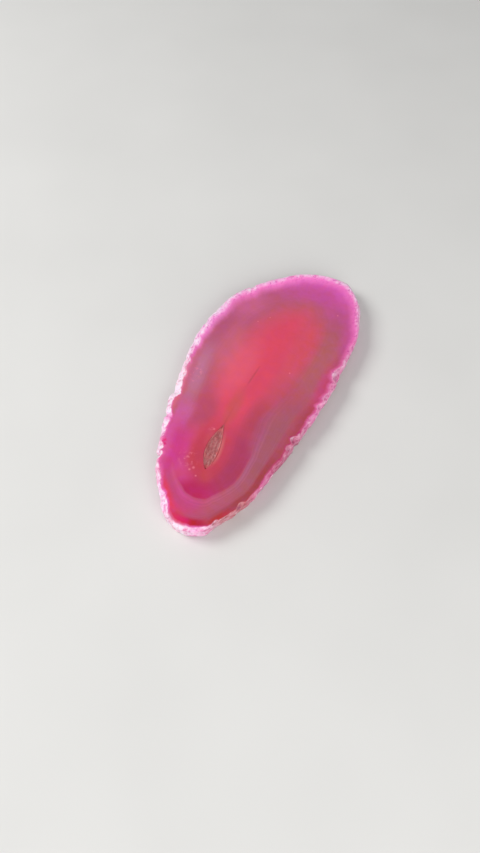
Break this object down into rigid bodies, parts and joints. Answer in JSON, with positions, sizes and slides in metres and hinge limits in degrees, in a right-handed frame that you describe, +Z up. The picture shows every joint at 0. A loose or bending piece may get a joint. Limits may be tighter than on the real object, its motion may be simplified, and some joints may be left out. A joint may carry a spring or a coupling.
{
  "type": "agate slice",
  "caption": "Flat dyed agate slice with polished faces, a rough rind round its leaf-shaped rim, and a small quartz-lined pocket open on the top face.",
  "frame": {"origin": "middle of the flat under-face, under the middle of the slice's box", "axes": "+Y along the length towards the broad end; +X across, to the right seen from above with the broad end away from the viewer; +Z up, out of the polished face that has the pocket"},
  "size_m": [0.0403, 0.084, 0.005],
  "materials": {
    "agate": "polished flat faces, dyed pink to coral red in bands; pale rough rind round the rim",
    "quartz": "small glassy crystal points, dyed a dusky rose"
  },
  "bodies": {
    "root": {"banded-slab": "agate", "crystal-crust": "quartz"}
  },
  "joints": []
}
